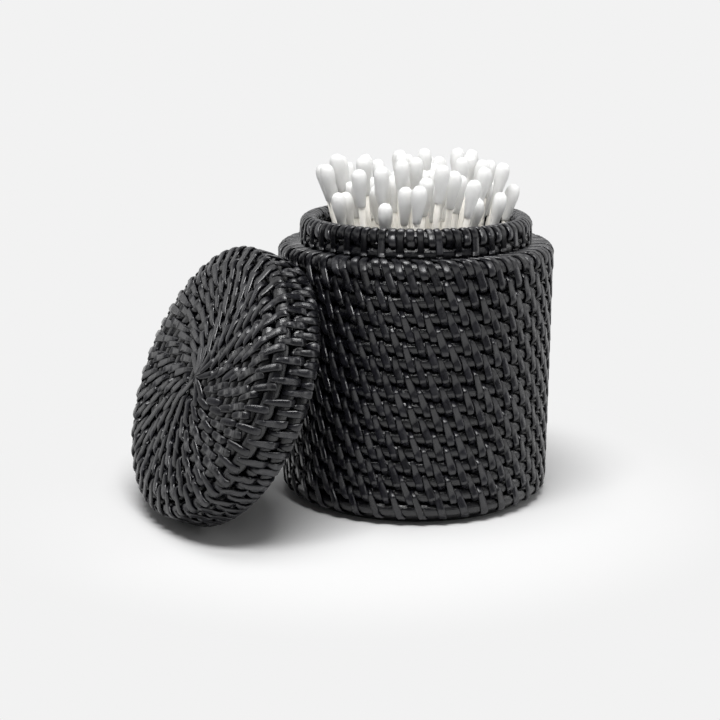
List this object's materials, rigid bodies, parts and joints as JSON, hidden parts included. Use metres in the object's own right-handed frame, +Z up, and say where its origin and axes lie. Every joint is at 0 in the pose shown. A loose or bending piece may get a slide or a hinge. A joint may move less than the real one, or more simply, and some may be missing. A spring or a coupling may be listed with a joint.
{
  "type": "rattan canister",
  "caption": "Round lidded canister of coiled, strip-bound rattan, its slip-over lid leaning on its side, holding a bunch of cotton swabs.",
  "frame": {"origin": "on the floor, on the canister's upright axis, in the plane of the flat ring that it stands on", "axes": "+Z up along the canister's axis, -Y towards the viewer, the lid leaning on the -X side"},
  "size_m": [0.1535, 0.1308, 0.1263],
  "materials": {
    "cane": "black lacquer, satin",
    "strip": "black lacquer, satin",
    "paper": "matt",
    "cotton": "soft and matt"
  },
  "bodies": {
    "root": {"body_coil": "cane", "wall_binding": "strip", "base_binding": "strip", "neck_coil": "cane", "neck_binding": "strip", "lid_coil": "cane", "lid_binding": "strip", "swab_sticks": "paper", "swab_buds": "cotton"}
  },
  "joints": []
}
